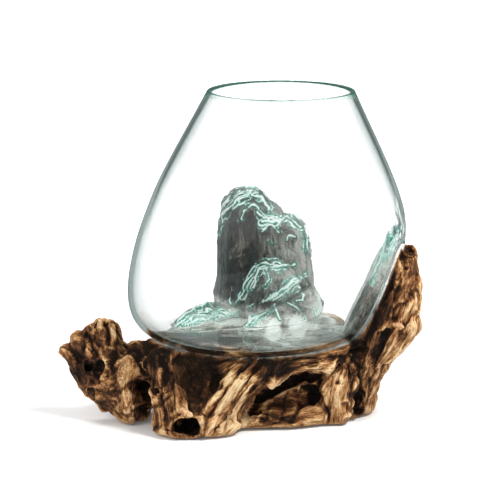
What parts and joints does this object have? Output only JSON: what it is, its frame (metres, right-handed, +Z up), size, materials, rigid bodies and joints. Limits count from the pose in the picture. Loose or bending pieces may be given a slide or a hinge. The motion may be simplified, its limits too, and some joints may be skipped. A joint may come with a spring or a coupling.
{
  "type": "glass terrarium",
  "caption": "Round open-topped blown glass vessel that has settled over the humps of a driftwood root, standing on small felt feet.",
  "frame": {"origin": "middle of the whole object's outline, on the surface that it stands on", "axes": "+X along the root's long side towards the tall branch, +Y to the back where the knob stands, +Z up"},
  "size_m": [0.2874, 0.2346, 0.257],
  "materials": {
    "driftwood": "bare, weathered and brushed root wood",
    "vessel_glass": "clear hand-blown glass with a blue-green tint where it is thick",
    "felt": "pressed brown felt"
  },
  "bodies": {
    "base": {"driftwood_root": "driftwood", "felt_pad_1": "felt", "felt_pad_2": "felt", "felt_pad_3": "felt", "felt_pad_4": "felt"},
    "vessel": {"glass_vessel": "vessel_glass"}
  },
  "joints": [
    {"name": "vessel_lift", "type": "slide", "parent": "base", "child": "vessel", "axis": [0, 0, 1], "range_m": [0, 0.12]}
  ]
}
